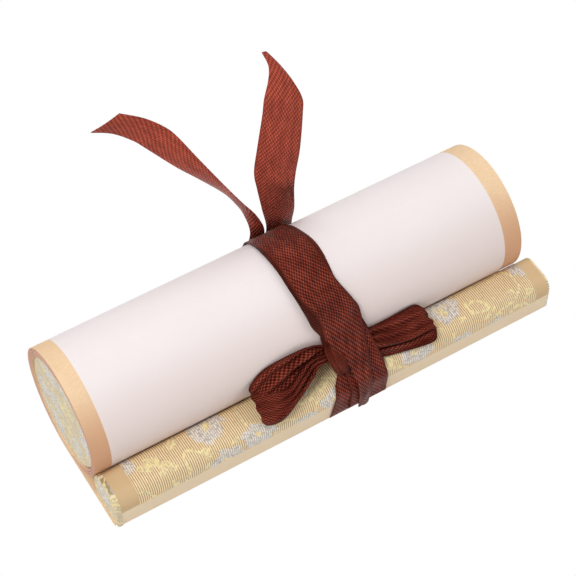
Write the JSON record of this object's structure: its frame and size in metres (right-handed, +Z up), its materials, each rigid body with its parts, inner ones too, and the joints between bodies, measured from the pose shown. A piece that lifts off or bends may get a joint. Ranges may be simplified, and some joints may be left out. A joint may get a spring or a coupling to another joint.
{
  "type": "paper scroll",
  "caption": "Small hanging scroll rolled up on its roller, with a brocade-covered top bar, tied with a satin ribbon in a bow.",
  "frame": {"origin": "on the surface the scroll lies on, under the roller's axis and at the middle of the sheet's width", "axes": "+X along the roller, +Y from the top bar towards the roll, +Z up"},
  "size_m": [0.1148, 0.0543, 0.065],
  "materials": {
    "roller_wood": "matt",
    "silver_brocade": "woven",
    "white_paper": "matt",
    "tan_paper": "matt",
    "bar_wood": "matt",
    "lining_paper": "matt",
    "gold_brocade": "woven",
    "satin_ribbon": "satin"
  },
  "bodies": {
    "root": {"roller": "roller_wood", "roller_end_cover_left": "silver_brocade", "roller_end_cover_right": "silver_brocade", "sheet_panel": "white_paper", "edge_strip_left": "tan_paper", "edge_strip_right": "tan_paper", "top_bar": "bar_wood", "bar_lining": "lining_paper", "bar_brocade": "gold_brocade", "bar_band_left": "tan_paper", "bar_band_right": "tan_paper", "bar_end_cover_left": "silver_brocade", "bar_end_cover_right": "silver_brocade", "ribbon": "satin_ribbon"}
  },
  "joints": []
}
